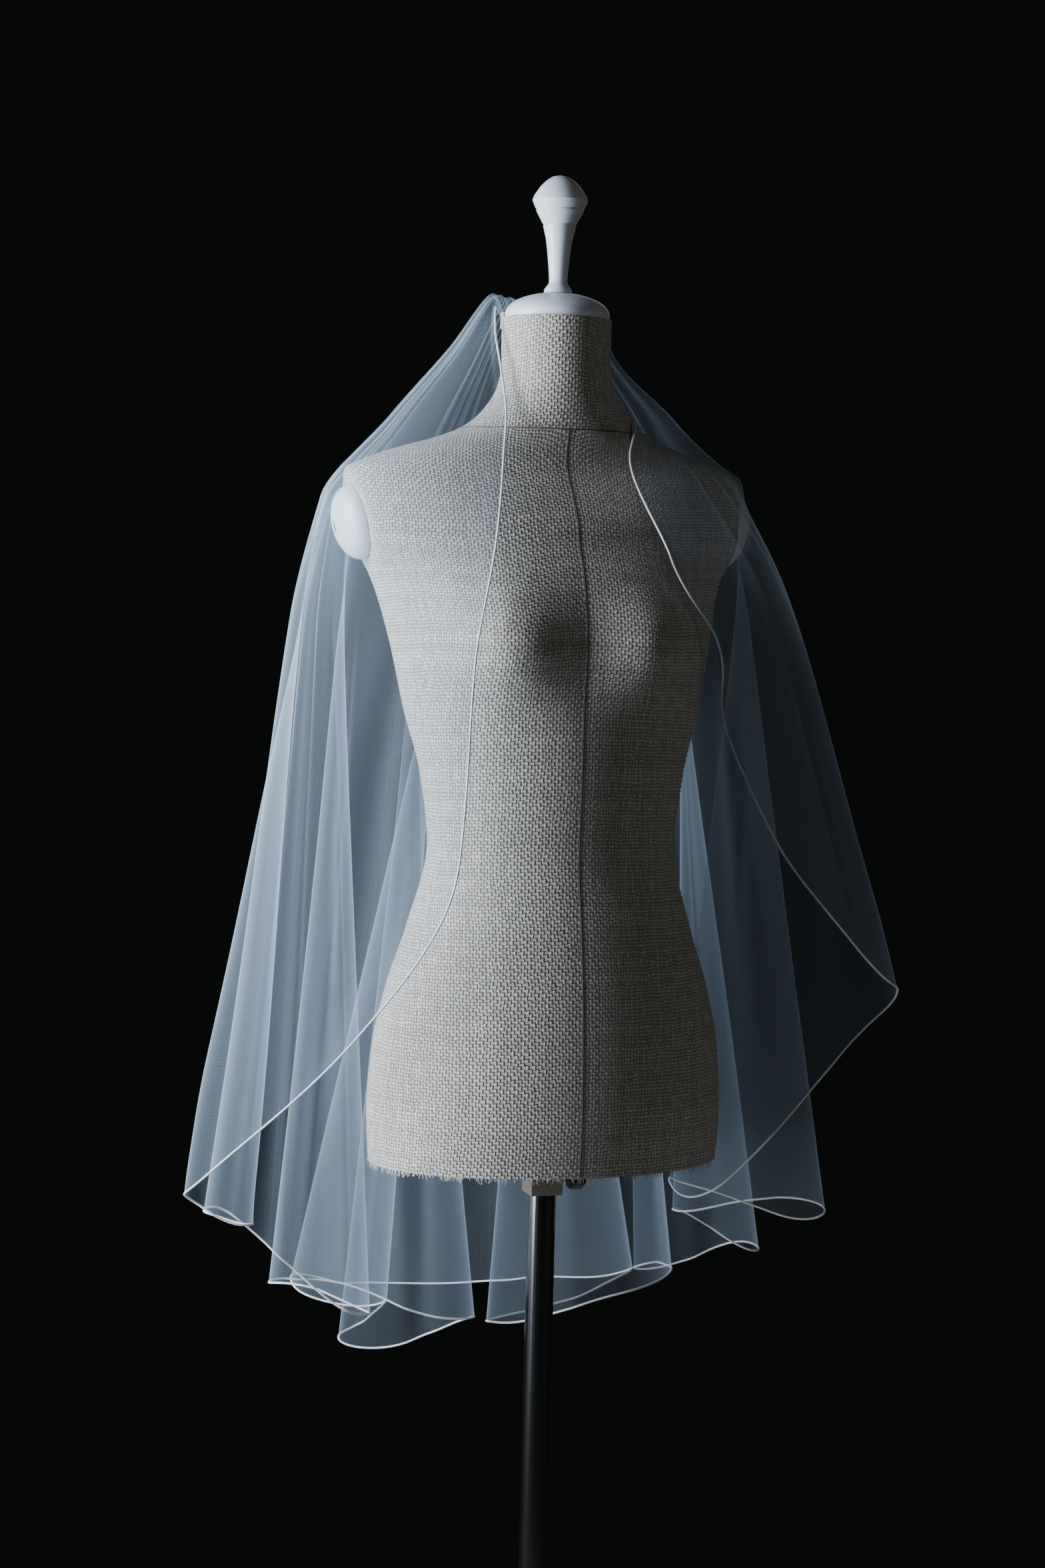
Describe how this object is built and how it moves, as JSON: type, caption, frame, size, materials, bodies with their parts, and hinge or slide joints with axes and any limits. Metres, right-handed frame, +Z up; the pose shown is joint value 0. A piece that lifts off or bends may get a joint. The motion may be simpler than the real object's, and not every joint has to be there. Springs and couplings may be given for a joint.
{
  "type": "bridal veil on a dress form",
  "caption": "Fingertip-length sheer veil gathered on a neck comb, draped over a limbless dress form on a height-adjustable pole stand.",
  "frame": {"origin": "on the floor on the pole's axis, at the middle of the base plate's underside", "axes": "+Z up along the pole, the form's front towards -Y, the form's own left towards +X"},
  "size_m": [0.7261, 0.5825, 1.715],
  "materials": {
    "tulle": "sheer white nylon tulle, single layer",
    "satin_cord": "white satin-covered cord",
    "comb_cover": "ivory ribbon-covered comb",
    "linen": "undyed basket-weave linen",
    "white_plastic": "satin white plastic",
    "block": "grey-beige moulded block",
    "knob": "black moulded knob",
    "chrome_tube": "polished chrome plate"
  },
  "bodies": {
    "stand": {"base_plate": "chrome_tube", "pole": "chrome_tube", "pole_collar": "chrome_tube"},
    "form": {"form_body": "linen", "neck_cap": "white_plastic", "finial": "white_plastic", "arm_cap_right": "white_plastic", "arm_cap_left": "white_plastic", "clamp_block": "block", "clamp_knob": "knob", "comb": "comb_cover", "veil_tulle": "tulle", "veil_edge_cord": "satin_cord"}
  },
  "joints": [
    {"name": "height_slide", "type": "slide", "parent": "stand", "child": "form", "axis": [0, 0, 1], "range_m": [-0.1, 0.15]}
  ]
}
